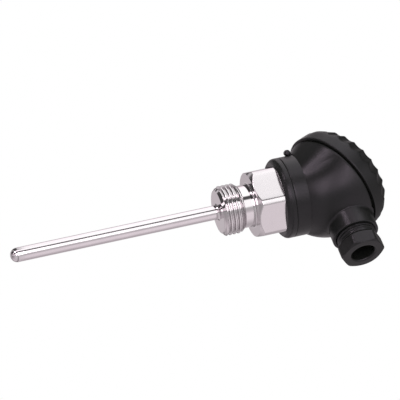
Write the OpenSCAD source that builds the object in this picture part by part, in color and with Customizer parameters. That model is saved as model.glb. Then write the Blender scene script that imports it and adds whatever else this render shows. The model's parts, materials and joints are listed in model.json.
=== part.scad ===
// Resistance thermometer probe with a small moulded connection head.
// A sheathed sensing tip, a G 1/2 process fitting, a round neck ring and a
// head with an inclined screw lid, a terminal block and a cable gland.
// Origin: centre of the seal face of the hexagon. +Z runs up the probe towards
// the head, the gland leaves along +X and the lid leans towards -X.
// Millimetres and degrees.

/* [Part to show] */
// Sub-part to draw, or all of them

/* [Probe sheath] */
// Length from the seal face to the tip of the sheath
immersion_l = 103; // [60:1:250]
// Outside diameter of the sheath
sheath_d = 6; // [5.5:0.5:7]
// Wall of the sheath tube
sheath_wall = 0.5; // [0.4:0.05:0.7]
// Length of the sensing element in the tip
element_l = 22; // [10:1:30]
// Diameter of the sensing element
element_d = 3.2; // [2:0.1:3.6]
// Diameter of one insulated lead wire
wire_d = 1; // [0.7:0.05:1.2]

/* [Process fitting] */
// Major diameter of the G 1/2 parallel pipe thread
thread_d = 20.955; // [20.6:0.005:21.3]
// Length below the seal face, relief groove included
thread_l = 14.1; // [12:0.1:18]
// Pitch of the pipe thread
thread_pitch = 1.814; // [1.3:0.001:2.4]
// Length of the chamfer at the free end of the thread
thread_chamfer = 1.5; // [0.8:0.1:2.2]
// Diameter of the relief groove behind the thread
relief_d = 17.9; // [16.5:0.1:18.6]
// Width of the relief groove
relief_w = 3.7; // [2:0.1:5]
// Width across the flats of the hexagon
hex_af = 27; // [25:0.5:28]
// Diameter that the corners of the hexagon are turned to
hex_turned_d = 30; // [28:0.1:30.4]
// Height of the hexagon
hex_h = 13; // [10:0.1:16]
// Angle of the chamfer of the hexagon from its lower face
hex_chamfer = 45; // [25:1:50]
// Angle that the hexagon came to rest at when the head was screwed on
hex_turn = 6.5; // [-30:0.5:30]
// Outside diameter of the threaded spigot that carries the head
spigot_d = 18; // [16:0.5:20]
// Bore of the spigot for the lead wires
spigot_bore_d = 10; // [8:0.5:12]
// Height of the spigot above the floor of the head
spigot_rise = 1.2; // [0.4:0.1:2.5]

/* [Neck] */
// Outside diameter of the neck ring and of the collar of the head
neck_d = 33.8; // [32.4:0.2:36]
// Height of the neck ring
ring_h = 3.9; // [3.4:0.1:6]
// Depth of the recess that hides the end of the hexagon
ring_recess = 1.6; // [0.5:0.1:1.8]
// Lead-in chamfer of the neck ring
ring_chamfer = 1.4; // [0.5:0.1:1.6]
// Height of the straight collar of the head above the neck ring
collar_h = 6.1; // [5:0.1:9]

/* [Head body] */
// Lean of the lid axis from the probe axis
lid_tilt = 30; // [20:1:36]
// Height of the lid seat centre above the collar
seat_rise = 14.9; // [13:0.1:19]
// Sideways place of the lid seat centre
seat_x = -0.85; // [-2:0.05:1]
// Height of the widest round section above the collar
belly_rise = 9; // [6:0.1:11]
// Diameter of the widest round section
belly_d = 40.8; // [36:0.2:42]
// Step from the edge of the lid in to the rim of the head
rim_step = 1.1; // [0.6:0.1:1.6]
// Height of the straight land of the rim
rim_land = 0.9; // [0.5:0.1:1.5]
// Height of the threaded neck
lid_neck_h = 7.5; // [5:0.1:8]
// Wall of the threaded neck around the opening under the lid
lid_neck_wall = 1.8; // [1.5:0.1:2.4]
// Wall of the collar around the wiring room
collar_wall = 2.8; // [2:0.1:3.2]
// Thickness of the floor over the top of the straight collar
floor_rise = 0.5; // [0.2:0.1:1.5]

/* [Cable gland] */
// Height of the gland axis above the collar
gland_rise = 16.3; // [15:0.1:18]
// Distance of the end of the gland boss from the probe axis
boss_reach = 26; // [25:0.1:29]
// Diameter of the gland boss at its end
boss_d = 19.8; // [19.4:0.1:20.8]
// Growth of the boss diameter from its end to its root
boss_draft = 0.6; // [0.2:0.1:1.4]
// Diameter of the gland thread
gland_thread_d = 16.6; // [15:0.1:17]
// Thickness of the floor of the threaded gland bore
gland_floor_t = 1.9; // [1:0.1:2.2]
// Width across the flats of the gland nut
nut_af = 17; // [16:0.5:18]
// Diameter that the corners of the gland nut are turned to
nut_turned_d = 19; // [18:0.1:19.6]
// Height of the hexagon of the gland nut
nut_hex_h = 5.8; // [4:0.1:8]
// How far the gland nut stands out of the boss with no cable clamped
nut_rise = 3.7; // [0.5:0.1:4.2]
// Cable passage through the gland nut
cable_d = 10; // [8:0.1:11]
// Bore of the rubber seal
seal_bore_d = 6.6; // [4:0.2:9]
// Length of the rubber seal
seal_l = 3; // [2:0.1:3.6]
// Thickness of the washer between seal and nut
washer_t = 0.9; // [0.5:0.1:1.2]

/* [Lid] */
// Diameter of the lid at its open edge
lid_d = 47.4; // [47:0.1:51]
// Thickness of the skirt of the lid down to its thread
lid_skirt = 4.2; // [3.9:0.1:5]
// Height of the lid
lid_h = 11.5; // [10.8:0.1:15]
// Gap between the rim of the head and the edge of the lid
lid_gap = 0.5; // [0.3:0.1:0.8]
// Thickness of the top of the lid
lid_top = 2.6; // [1.8:0.1:2.8]
// Height of the smooth band below the shoulder
shoulder_h = 6.4; // [5:0.1:8]
// Slope of the shoulder from the lid axis
shoulder_slope = 36; // [20:1:40]
// Number of grip scallops around the shoulder
scallops = 24; // [16:1:30]
// Depth of one scallop
scallop_depth = 0.85; // [0.4:0.05:1]

/* [Terminal block] */
// Diameter of the terminal base
base_d = 26; // [24.5:0.1:26.2]
// Thickness of the terminal base
base_t = 4.5; // [3.5:0.1:5.5]
// Height of the posts under the terminal base
post_h = 5; // [3.5:0.1:5.5]
// Distance between neighbouring terminals
terminal_pitch = 7.6; // [7:0.1:8]
// Width of one brass terminal
terminal_w = 5.6; // [5:0.1:6]
// Length of one brass terminal along the wires
terminal_l = 6.6; // [6:0.1:8]
// Height of one brass terminal
terminal_h = 7; // [6.5:0.1:8]
// Thread diameter of the terminal and base screws
screw_d = 2.5; // [2:0.1:2.8]
// Head diameter of the screws
screw_head_d = 4.6; // [4:0.1:5]

/* [Fits] */
// Radial gap between screwed parts
thread_gap = 0.15; // [0.1:0.05:0.25]
// Radial gap around seated parts
seat_gap = 0.05; // [0.03:0.01:0.1]

/* [Hidden] */
$fn = 96;
cut = 0.5; // overshoot of cutting shapes

// levels along the probe axis
ring_z = hex_h - ring_recess;
collar_z = ring_z + ring_h;
flare_z = collar_z + collar_h;
floor_z = flare_z + floor_rise;
spigot_z = floor_z + spigot_rise;
seat_z = flare_z + seat_rise;
gland_z = flare_z + gland_rise;
post_z = floor_z + post_h;
base_z = post_z + base_t;
terminal_sink = 0.8;
terminal_z = base_z - terminal_sink;
wire_z = terminal_z + 0.52 * terminal_h;

// sheath and its filling
sheath_r = sheath_d / 2;
sheath_bore_r = sheath_r - sheath_wall;
sheath_end = 2 * sheath_wall;
element_z = -immersion_l + sheath_end;
element_seat_r = element_d / 2 + seat_gap;
insulator_z = element_z + element_l;
insulator_r = sheath_bore_r - seat_gap;
bore_shoulder_z = 4;
potting_h = 6;
insulator_top_z = bore_shoulder_z - 2;
wire_r = wire_d / 2;
wire_orbit = insulator_r / 2;
wire_fit = 0.04;
wire_bend = 1.3;

// process fitting
thread_r = thread_d / 2;
face_r = thread_r - thread_chamfer;
thread_low_z = -thread_l + thread_chamfer;
thread_high_z = -relief_w - 0.8;
thread_root_r = thread_r - 0.64 * thread_pitch;
crest_w = thread_pitch / 6;
grooves = floor((thread_high_z - thread_low_z - crest_w) / thread_pitch);
hex_chamfer_r = 0.99 * hex_af / 2;
hex_turned_r = hex_turned_d / 2;
chamfer_slope = tan(30);
weld_leg = 0.9;
neck_r = neck_d / 2;
groove_r = (spigot_d / 2 + hex_turned_r) / 2 + 0.9;
oring_r = 0.9;
edge_break = 0.25;

// head
lid_r = lid_d / 2;
rim_r = lid_r - rim_step;
lid_neck_r = lid_r - lid_skirt;
mouth_r = lid_neck_r - lid_neck_wall;
room_r = neck_r - collar_wall;
seal_ring_r = lid_neck_r + 0.15 + oring_r;
flare_edge = 0.1;
boss_r = boss_d / 2;
boss_root_r = boss_r + boss_draft / 2;
boss_chamfer = 0.7;
gland_r = gland_thread_d / 2;
gland_start_x = room_r - 0.7;
gland_floor_x = gland_start_x + gland_floor_t;
gland_wall = 1.3;
lug_r = 1.35;
lug_w = 3;
lug_turn = -145;
lug_x = neck_r + 1.15;
lug_z = flare_z - 1.2;

// gland nut, along the gland axis from the seal outwards
nut_stop = 0.1;
nut_shank_l = boss_reach + nut_stop - gland_floor_x - seal_l - washer_t - seat_gap;
nut_hex_x = boss_reach + nut_rise;
nut_tip_x = nut_hex_x - nut_shank_l;
washer_x = nut_tip_x - seat_gap - washer_t;
nut_end_x = nut_hex_x + nut_hex_h;
nut_turned_r = nut_turned_d / 2;

// lid, along its own axis from the seat upwards
lid_top_z = lid_gap + lid_h;
lid_ceiling_z = lid_top_z - lid_top;
lid_bore_r = lid_neck_r + 2 * thread_gap;
lid_clear = 0.6;
lid_thread_top = lid_neck_h + 1;
shoulder_z = lid_gap + shoulder_h;
shoulder_r = lid_r - 0.6;
crown_r = shoulder_r - (lid_h - shoulder_h) * tan(shoulder_slope);
crown_round = 1.2;
scallop_pitch = 360 / scallops;
scallop_r = pow(shoulder_r * sin(scallop_pitch / 2), 2) / 2 / scallop_depth + scallop_depth / 2;
dish_rim = 3.9;
dish_r = crown_r - dish_rim;
dish_depth = 0.5;

// terminal block
base_room = 0.4;
base_r = min(base_d / 2, gland_start_x - base_room);
post_r = 2.5;
post_x = -0.56 * base_r;
post_y = 0.56 * base_r;
prop_x = 0.78 * base_r;
screw_r = screw_d / 2;
screw_head_r = screw_head_d / 2;
screw_head_h = 2;
slot_w = 0.7;
slot_d = 0.9;
terminal_x = 0.5;
terminal_cx = terminal_x + terminal_l / 2;
wire_hole_r = wire_r + 0.65;
slot_x = -0.56 * base_r;
wire_slot_w = 2 * wire_r + 1.6;
wire_slot_y = 5;
barrier_t = terminal_pitch - terminal_w - 0.8;
barrier_h = 3;

// Local frame on the lid seat: Z is the lid axis, its origin the seat centre.
module on_seat() {
    translate([seat_x, 0, seat_z])
        rotate([0, -lid_tilt, 0])
            children();
}

// Local frame on the gland: Z is the gland axis, measured from the probe axis.
module on_gland() {
    translate([0, 0, gland_z])
        rotate([0, 90, 0])
            children();
}

// Ring of round section around Z.
module oring(centre_r, section_r) {
    rotate_extrude()
        translate([centre_r, 0])
            circle(r = section_r, $fn = 32);
}

// Hexagonal prism with turned corners and chamfers that rise by slope.
module turned_hex(af, h, turned_r, low_chamfer, high_chamfer, slope) {
    flat_r = 0.99 * af / 2;
    leg = (turned_r - flat_r) * slope;
    low = low_chamfer ? leg : 0;
    high = high_chamfer ? leg : 0;
    low_r = low_chamfer ? flat_r : turned_r;
    high_r = high_chamfer ? flat_r : turned_r;
    intersection() {
        linear_extrude(height = h)
            circle(r = af / 2 / cos(30), $fn = 6);
        rotate_extrude()
            polygon([[0, 0], [low_r, 0], [turned_r, low], [turned_r, h - high], [high_r, h], [0, h]]);
    }
}

// Slotted cheese-head screw: head from z = 0 upwards, shank below.
module slotted_screw(shank_l) {
    difference() {
        union() {
            cylinder(r1 = screw_head_r, r2 = screw_head_r - 0.15, h = screw_head_h);
            translate([0, 0, -shank_l])
                cylinder(r = screw_r, h = shank_l + cut, $fn = 48);
        }
        translate([-screw_head_r - cut, -slot_w / 2, screw_head_h - slot_d])
            cube([2 * screw_head_r + 2 * cut, slot_w, slot_d + cut]);
    }
}

// Half-section of a round-nosed rod with its tip at low_z and its end at high_z.
module nosed_section(r, low_z, high_z) {
    intersection() {
        union() {
            translate([0, low_z + r])
                circle(r = r);
            translate([-r, low_z + r])
                square([2 * r, high_z - low_z - r]);
        }
        translate([0, low_z - cut])
            square([2 * r, high_z - low_z + 2 * cut]);
    }
}

// Closed metal tube with a round tip and a drilled seat for the element.
module sheath_tube() {
    color("gainsboro")
        rotate_extrude()
            difference() {
                nosed_section(sheath_r, -immersion_l, bore_shoulder_z);
                polygon([[-cut, element_z], [element_seat_r, element_z], [sheath_bore_r, -immersion_l + sheath_r],
                         [sheath_bore_r, bore_shoulder_z + cut], [-cut, bore_shoulder_z + cut]]);
            }
}

// Section of one thread groove: down a flank to the flat root and back up to the next crest.
function thread_groove(k) =
    let (start = thread_low_z + crest_w + k * thread_pitch,
         flank = (thread_pitch - 2 * crest_w) / 2)
    [[thread_r, start], [thread_root_r, start + flank],
     [thread_root_r, start + flank + crest_w], [thread_r, start + 2 * flank + crest_w]];

// Turned fitting: thread with relief, hexagon and the spigot inside the head.
module process_fitting() {
    color("lightgray")
        difference() {
            union() {
                rotate_extrude()
                    polygon(concat([[0, -thread_l], [face_r, -thread_l], [thread_r, thread_low_z]],
                                   [for (k = [0:grooves - 1]) for (point = thread_groove(k)) point],
                                   [[thread_r, thread_high_z], [relief_d / 2, -relief_w],
                                    [relief_d / 2, 0.5], [0, 0.5]]));
                rotate([0, 0, hex_turn])
                    turned_hex(hex_af, hex_h, hex_turned_r, true, false, tan(hex_chamfer));
                translate([0, 0, hex_h - cut])
                    cylinder(r = spigot_d / 2, h = spigot_z - hex_h + cut - edge_break);
                translate([0, 0, spigot_z - edge_break])
                    cylinder(r1 = spigot_d / 2, r2 = spigot_d / 2 - edge_break, h = edge_break);
                translate([0, 0, -thread_l - weld_leg])
                    cylinder(r1 = sheath_r + 0.15, r2 = sheath_r + weld_leg, h = weld_leg + cut);
            }
            translate([0, 0, -thread_l - weld_leg - cut])
                cylinder(r = sheath_r + seat_gap / 2, h = thread_l + weld_leg + bore_shoulder_z + cut);
            translate([0, 0, bore_shoulder_z])
                cylinder(r = spigot_bore_d / 2, h = spigot_z - bore_shoulder_z + cut);
        }
}

// Ceramic sensing element that stands on the end of the sheath bore.
module sensing_element() {
    color("white")
        translate([0, 0, element_z])
            cylinder(r = element_d / 2, h = element_l);
}

// Where each lead wire runs in the sheath.
function wire_spot(i) = [wire_orbit * cos(120 * (2 - i) + 180), wire_orbit * sin(120 * (2 - i) + 180)];

// Ceramic rod with one bore for each lead wire.
module insulator() {
    color("ivory")
        difference() {
            translate([0, 0, insulator_z])
                cylinder(r = insulator_r, h = insulator_top_z - insulator_z);
            for (i = [1:3])
                translate([wire_spot(i)[0], wire_spot(i)[1], insulator_z - cut])
                    cylinder(r = wire_r + wire_fit, h = insulator_top_z - insulator_z + 2 * cut, $fn = 32);
        }
}

// Round rod between two points.
module rod(a, b, r) {
    d = b - a;
    l = norm(d);
    turn = atan2(d[1], d[0]);
    tip = acos(d[2] / l);
    translate(a)
        rotate([0, tip, turn])
            cylinder(r = r, h = l, $fn = 32);
}

// Lead wire from the element up to its terminal.
module lead_wire(i) {
    side = (i - 2) * terminal_pitch;
    slot_y = 0.45 * side;
    path = [[wire_spot(i)[0], wire_spot(i)[1], insulator_z],
            [wire_spot(i)[0], wire_spot(i)[1], spigot_z - 0.5],
            [slot_x, slot_y, post_z - 1],
            [slot_x, slot_y, wire_z],
            [slot_x + 4, side, wire_z],
            [terminal_cx - 0.6, side, wire_z]];
    union() {
        for (k = [0:len(path) - 2])
            rod(path[k], path[k + 1], wire_r);
        for (k = [1:len(path) - 2])
            translate(path[k])
                rotate([0, 90, 0])
                    sphere(r = wire_r * wire_bend, $fn = 32);
    }
}

module lead_wire_1() {
    color("firebrick")
        lead_wire(1);
}

module lead_wire_2() {
    color("white")
        lead_wire(2);
}

module lead_wire_3() {
    color("firebrick")
        lead_wire(3);
}

// Cast plug that seals the top of the sheath around the wires.
module potting_plug() {
    color("dimgray")
        difference() {
            translate([0, 0, bore_shoulder_z])
                cylinder(r = spigot_bore_d / 2 - seat_gap, h = potting_h);
            for (i = [1:3])
                translate([wire_spot(i)[0], wire_spot(i)[1], bore_shoulder_z - cut])
                    cylinder(r = wire_r + wire_fit, h = potting_h + 2 * cut, $fn = 32);
        }
}

// Round lock ring under the head, with a recess that takes the end of the hexagon.
module neck_ring() {
    color("#2b282b")
        difference() {
            translate([0, 0, ring_z])
                rotate_extrude()
                    polygon([[0, 0], [neck_r - ring_chamfer, 0], [neck_r - 0.45 * ring_chamfer, 0.35 * ring_chamfer],
                             [neck_r, ring_chamfer], [neck_r, ring_h - edge_break],
                             [neck_r - edge_break, ring_h], [0, ring_h]]);
            translate([0, 0, ring_z - cut])
                cylinder(r = hex_turned_r + thread_gap, h = ring_recess + cut);
            translate([0, 0, ring_z])
                cylinder(r = spigot_d / 2 + thread_gap, h = ring_h + cut);
            translate([0, 0, collar_z - 2 * oring_r - 0.02])
                difference() {
                    cylinder(r = groove_r + oring_r + 0.1, h = 2 * oring_r + cut);
                    translate([0, 0, -cut])
                        cylinder(r = groove_r - oring_r - 0.1, h = 2 * oring_r + 3 * cut);
                }
        }
}

// Seal between the neck ring and the head.
module neck_oring() {
    color("#151515")
        translate([0, 0, collar_z - oring_r - 0.02])
            oring(groove_r, oring_r);
}

// Tapered form from a round section at low_z over a belly to the lid seat.
module flare(low_z, low_r, belly_r, high_r) {
    difference() {
        hull() {
            translate([0, 0, low_z])
                cylinder(r = low_r, h = flare_edge, $fn = 72);
            translate([0, 0, flare_z + belly_rise])
                cylinder(r = belly_r, h = flare_edge, $fn = 72);
            on_seat()
                translate([0, 0, flare_edge - rim_land])
                    cylinder(r = high_r, h = flare_edge, $fn = 72);
        }
        on_seat()
            translate([0, 0, 3 * flare_edge - rim_land])
                cylinder(r = lid_d, h = lid_d);
    }
}

// Space that the skirt and the seal of the lid need around the threaded neck.
module skirt_room() {
    on_seat()
        translate([0, 0, -flare_edge])
            difference() {
                cylinder(r = lid_r + lid_clear, h = lid_h);
                translate([0, 0, -cut])
                    cylinder(r = lid_neck_r - 2 * flare_edge, h = lid_h + 2 * cut);
            }
}

// Boss for the gland, slightly drafted, with a rounded-off end.
module gland_boss() {
    difference() {
        on_gland()
            rotate_extrude()
                polygon([[0, gland_start_x], [boss_root_r, gland_start_x], [boss_r, boss_reach - boss_chamfer],
                         [boss_r - 0.3 * boss_chamfer, boss_reach - 0.3 * boss_chamfer],
                         [boss_r - boss_chamfer, boss_reach], [0, boss_reach]]);
        skirt_room();
    }
}

// Wall that closes the gland bore towards the wiring room.
module gland_floor() {
    difference() {
        on_gland()
            translate([0, 0, gland_start_x])
                cylinder(r = gland_r + gland_wall, h = gland_floor_t + cut);
        skirt_room();
    }
}

// Rounded lug on the collar.
module lug() {
    rotate([0, 0, lug_turn]) {
        translate([lug_x, 0, lug_z])
            rotate([90, 0, 0])
                cylinder(r = lug_r, h = lug_w, center = true);
        translate([neck_r - 1, -lug_w / 2, lug_z])
            cube([1.6, lug_w, flare_z - lug_z + 0.8]);
    }
}

// Moulded head: collar, tapered shell, lid thread neck, gland boss and posts.
module head_body() {
    color("#2b282b")
        difference() {
            union() {
                difference() {
                    union() {
                        rotate_extrude()
                            polygon([[0, collar_z], [neck_r - edge_break, collar_z], [neck_r, collar_z + edge_break],
                                     [neck_r, flare_z], [0, flare_z]]);
                        flare(flare_z - 4 * flare_edge, neck_r - 1.5 * flare_edge, belly_d / 2, rim_r - flare_edge);
                        on_seat()
                            rotate_extrude()
                                polygon([[0, -rim_land], [rim_r, -rim_land], [rim_r, 0], [lid_neck_r, 0],
                                         [lid_neck_r, lid_neck_h - edge_break],
                                         [lid_neck_r - edge_break, lid_neck_h], [0, lid_neck_h]]);
                        gland_boss();
                        lug();
                    }
                    flare(floor_z, room_r, belly_d / 2 - collar_wall, mouth_r - flare_edge);
                }
                gland_floor();
                for (side = [-1, 1])
                    translate([post_x, side * post_y, floor_z - cut])
                        cylinder(r = post_r, h = post_h + cut, $fn = 48);
                translate([prop_x, 0, floor_z - cut])
                    cylinder(r = post_r - 0.7, h = post_h + cut, $fn = 48);
            }
            on_seat()
                translate([0, 0, -rim_land])
                    cylinder(r = mouth_r, h = rim_land + lid_neck_h + cut);
            translate([0, 0, collar_z - cut])
                cylinder(r = spigot_d / 2 + thread_gap, h = floor_z - collar_z + 2 * cut);
            for (side = [-1, 1])
                translate([post_x, side * post_y, floor_z + 0.5])
                    cylinder(r = screw_r + seat_gap, h = post_h, $fn = 48);
            on_gland() {
                translate([0, 0, gland_floor_x])
                    cylinder(r = gland_r + thread_gap, h = boss_reach - gland_floor_x + cut);
                translate([0, 0, gland_start_x - cut])
                    cylinder(r = cable_d / 2, h = gland_floor_t + 2 * cut);
            }
        }
}

// Seal on the seat of the lid.
module lid_oring() {
    color("#151515")
        on_seat()
            translate([0, 0, oring_r])
                oring(seal_ring_r, oring_r);
}

// Screw lid with a smooth lower band and a scalloped shoulder.
module lid() {
    color("#2b282b")
        on_seat()
            difference() {
                rotate_extrude()
                    difference() {
                        polygon([[0, lid_gap], [lid_r - 0.3, lid_gap], [lid_r, lid_gap + 0.3],
                                 [shoulder_r, shoulder_z], [crown_r + 0.2 * crown_round, lid_top_z - 0.6 * crown_round],
                                 [crown_r - 0.4 * crown_round, lid_top_z - 0.15 * crown_round],
                                 [crown_r - crown_round, lid_top_z], [0, lid_top_z]]);
                        polygon([[-cut, lid_gap - cut], [seal_ring_r + oring_r + 0.1, lid_gap - cut],
                                 [seal_ring_r + oring_r + 0.1, 2 * oring_r + 0.05], [lid_bore_r, 2 * oring_r + 0.05],
                                 [lid_bore_r, lid_thread_top], [mouth_r, lid_thread_top + 0.4],
                                 [mouth_r, lid_ceiling_z], [-cut, lid_ceiling_z]]);
                        translate([-cut, lid_top_z - dish_depth])
                            square([dish_r + cut, dish_depth + cut]);
                    }
                for (k = [0:scallops - 1])
                    rotate([0, 0, scallop_pitch * (k + 0.5)])
                        translate([shoulder_r, 0, shoulder_z])
                            rotate([0, -shoulder_slope - 1, 0])
                                translate([scallop_r - scallop_depth, 0, -2 * lid_h])
                                    cylinder(r = scallop_r, h = 4 * lid_h, $fn = 64);
            }
}

// Moulded base that carries the terminals, with a slot for the lead wires.
module terminal_base() {
    color("#e6dfcf")
        difference() {
            union() {
                translate([0, 0, post_z])
                    cylinder(r = base_r, h = base_t);
                for (side = [-1, 1])
                    translate([terminal_x, side * terminal_pitch / 2 - barrier_t / 2, base_z - cut])
                        cube([terminal_l, barrier_t, barrier_h + cut]);
            }
            for (i = [-1:1])
                translate([terminal_x - seat_gap, i * terminal_pitch - terminal_w / 2 - seat_gap, terminal_z])
                    cube([terminal_l + 2 * seat_gap, terminal_w + 2 * seat_gap, terminal_sink + cut]);
            translate([slot_x - wire_slot_w / 2, -wire_slot_y, post_z - cut])
                cube([wire_slot_w, 2 * wire_slot_y, base_t + 2 * cut]);
            for (side = [-1, 1])
                translate([post_x, side * post_y, post_z - cut])
                    cylinder(r = screw_r + seat_gap, h = base_t + 2 * cut, $fn = 48);
        }
}

// Brass terminal with a wire hole and a clamp screw hole.
module terminal(i) {
    side = (i - 2) * terminal_pitch;
    color("#c9a44c")
        difference() {
            translate([terminal_x, side - terminal_w / 2, terminal_z])
                cube([terminal_l, terminal_w, terminal_h]);
            translate([terminal_x - cut, side, wire_z])
                rotate([0, 90, 0])
                    cylinder(r = wire_hole_r, h = terminal_l + 2 * cut, $fn = 48);
            translate([terminal_cx, side, wire_z])
                cylinder(r = screw_r + seat_gap, h = terminal_h, $fn = 48);
        }
}

module terminal_1() {
    terminal(1);
}

module terminal_2() {
    terminal(2);
}

module terminal_3() {
    terminal(3);
}

// Clamp screw of one terminal, tightened onto its wire.
module terminal_screw(i) {
    side = (i - 2) * terminal_pitch;
    tip_z = wire_z + wire_r + seat_gap;
    head_z = terminal_z + terminal_h + 0.3;
    color("silver")
        translate([terminal_cx, side, head_z])
            slotted_screw(head_z - tip_z);
}

module terminal_screw_1() {
    terminal_screw(1);
}

module terminal_screw_2() {
    terminal_screw(2);
}

module terminal_screw_3() {
    terminal_screw(3);
}

// The two screws that hold the terminal base on its posts.
module base_screws() {
    color("silver")
        for (side = [-1, 1])
            translate([post_x, side * post_y, base_z])
                slotted_screw(base_t + post_h - 1);
}

// Rubber sleeve that grips the cable.
module gland_seal() {
    color("#151515")
        on_gland()
            translate([0, 0, gland_floor_x])
                difference() {
                    cylinder(r = gland_r - thread_gap, h = seal_l);
                    translate([0, 0, -cut])
                        cylinder(r = seal_bore_d / 2, h = seal_l + 2 * cut);
                }
}

// Washer between the rubber sleeve and the gland nut.
module gland_washer() {
    color("silver")
        on_gland()
            translate([0, 0, washer_x])
                difference() {
                    cylinder(r = gland_r - thread_gap, h = washer_t);
                    translate([0, 0, -cut])
                        cylinder(r = cable_d / 2, h = washer_t + 2 * cut);
                }
}

// Hexagon pressure screw with a threaded shank, bored for the cable.
module gland_nut() {
    color("#2b282b")
        on_gland()
            difference() {
                union() {
                    translate([0, 0, nut_tip_x])
                        cylinder(r1 = gland_r - edge_break, r2 = gland_r, h = edge_break);
                    translate([0, 0, nut_tip_x + edge_break])
                        cylinder(r = gland_r, h = nut_shank_l - edge_break + cut);
                    translate([0, 0, nut_hex_x])
                        turned_hex(nut_af, nut_hex_h, nut_turned_r, true, true, chamfer_slope);
                }
                translate([0, 0, nut_tip_x - cut])
                    cylinder(r = cable_d / 2, h = nut_end_x - nut_tip_x + 2 * cut);
            }
}

sheath_tube();
process_fitting();
sensing_element();
insulator();
lead_wire_1();
lead_wire_2();
lead_wire_3();
potting_plug();
neck_ring();
neck_oring();
head_body();
lid();
lid_oring();
terminal_base();
terminal_1();
terminal_2();
terminal_3();
terminal_screw_1();
terminal_screw_2();
terminal_screw_3();
base_screws();
gland_seal();
gland_washer();
gland_nut();
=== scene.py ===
"""Looks of a resistance thermometer probe with a small moulded connection head.

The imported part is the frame. Each sub-assembly below is a class that works its
surfaces out on grids with numpy, gives them a finish and lets them ride on the
body they belong to. Sizes are in millimetres until a mesh is written.
"""

import json
import logging
import math
from dataclasses import dataclass, field
from enum import Enum

import bmesh
import bpy
import numpy as np
from mathutils import Matrix, Vector

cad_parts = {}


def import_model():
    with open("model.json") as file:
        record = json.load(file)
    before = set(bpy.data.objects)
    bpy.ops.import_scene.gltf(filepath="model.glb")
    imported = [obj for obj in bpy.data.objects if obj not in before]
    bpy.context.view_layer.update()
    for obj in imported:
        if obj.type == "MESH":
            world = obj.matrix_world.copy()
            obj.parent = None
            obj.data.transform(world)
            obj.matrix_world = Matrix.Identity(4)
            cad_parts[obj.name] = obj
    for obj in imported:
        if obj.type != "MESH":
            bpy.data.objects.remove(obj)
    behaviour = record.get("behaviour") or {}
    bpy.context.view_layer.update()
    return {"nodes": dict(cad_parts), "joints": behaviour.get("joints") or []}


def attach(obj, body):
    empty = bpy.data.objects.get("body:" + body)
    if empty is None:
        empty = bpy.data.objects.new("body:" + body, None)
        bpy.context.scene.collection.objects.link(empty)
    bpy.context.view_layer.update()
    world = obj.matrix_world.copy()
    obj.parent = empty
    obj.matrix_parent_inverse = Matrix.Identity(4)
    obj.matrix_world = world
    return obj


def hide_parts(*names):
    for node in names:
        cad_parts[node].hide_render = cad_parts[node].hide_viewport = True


MM = 0.001
MERGE_M = 2e-7  # points closer than this become one
SIDE_SHARE = 0.45  # most of a side that a rounded corner takes up
CLOUDS = {"Detail": 4.0, "Roughness": 0.55}
GRAIN = {"Detail": 3.0, "Roughness": 0.6}
CLOUD_SPAN = (0.3, 0.7)  # the cloud noise stays within this, nearly everywhere
LOG = logging.getLogger("probe")
Triple = tuple[float, float, float]
Stops = tuple[Triple, ...]
Real = np.ndarray | float


class Body(Enum):
    """Rigid bodies that the pieces ride on."""

    PROBE = "probe"
    LID_SEAL = "lid_seal"
    LID = "lid"
    NUT = "gland_nut"


# ---------------------------------------------------------------- geometry


@dataclass(frozen=True)
class Axes:
    """A local frame: where its origin lies and where its X, Y and Z point.

    Args:
        origin: origin in millimetres.
        x, y, z: unit vectors.
    """

    origin: Triple = (0.0, 0.0, 0.0)
    x: Triple = (1.0, 0.0, 0.0)
    y: Triple = (0.0, 1.0, 0.0)
    z: Triple = (0.0, 0.0, 1.0)

    def place(self, local: np.ndarray) -> np.ndarray:
        """Local points (..., 3) to the row frame: origin + x X + y Y + z Z."""
        basis = np.array([self.x, self.y, self.z])
        return np.array(self.origin) + local @ basis

    def local(self, points: np.ndarray) -> np.ndarray:
        """Row-frame points (..., 3) to this frame: their shares along X, Y and Z."""
        basis = np.array([self.x, self.y, self.z])
        return (points - np.array(self.origin)) @ basis.T


def ring(count: int) -> np.ndarray:
    """Angles of count points spaced evenly round a circle, in radians."""
    return np.linspace(0.0, 2.0 * math.pi, count, endpoint=False)


def rounded(corners: list[Triple], steps: int = 5) -> np.ndarray:
    """Outline with each corner replaced by a short parabola.

    Each corner is (r, z, radius). A corner with a radius becomes the curve
    (1-t)^2 A + 2t(1-t) corner + t^2 B, where A and B lie that radius before
    and after it, or SIDE_SHARE of the side at most.

    Args:
        corners: the corners in order, first and last kept as they are.
        steps: points on each rounded corner.

    Returns:
        Points (n, 2) along the outline.
    """
    pts = np.array([c[:2] for c in corners], float)
    out = [pts[:1]]
    t = np.linspace(0.0, 1.0, steps)[:, None]
    for i in range(1, len(corners) - 1):
        size = corners[i][2]
        if size <= 0.0:
            out.append(pts[i : i + 1])
            continue
        before, after = pts[i - 1] - pts[i], pts[i + 1] - pts[i]
        lb, la = np.linalg.norm(before), np.linalg.norm(after)
        a = pts[i] + before * min(size / lb, SIDE_SHARE)
        b = pts[i] + after * min(size / la, SIDE_SHARE)
        out.append((1 - t) ** 2 * a + 2 * t * (1 - t) * pts[i] + t**2 * b)
    out.append(pts[-1:])
    return np.concatenate(out)


def dense(outline: np.ndarray, step: float) -> np.ndarray:
    """Adds points to an outline so that none are more than a step apart.

    Each side is cut into ceil(length / step) equal parts.

    Args:
        outline: points (n, 2) of r and z.
        step: longest side allowed, in mm.

    Returns:
        Points (m, 2), the old corners among them.
    """
    parts = []
    for a, b in zip(outline[:-1], outline[1:]):
        n = max(1, int(math.ceil(np.linalg.norm(b - a) / step)))
        parts.append(a + (b - a) * np.linspace(0.0, 1.0, n, endpoint=False)[:, None])
    parts.append(outline[-1:])
    return np.concatenate(parts)


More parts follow.
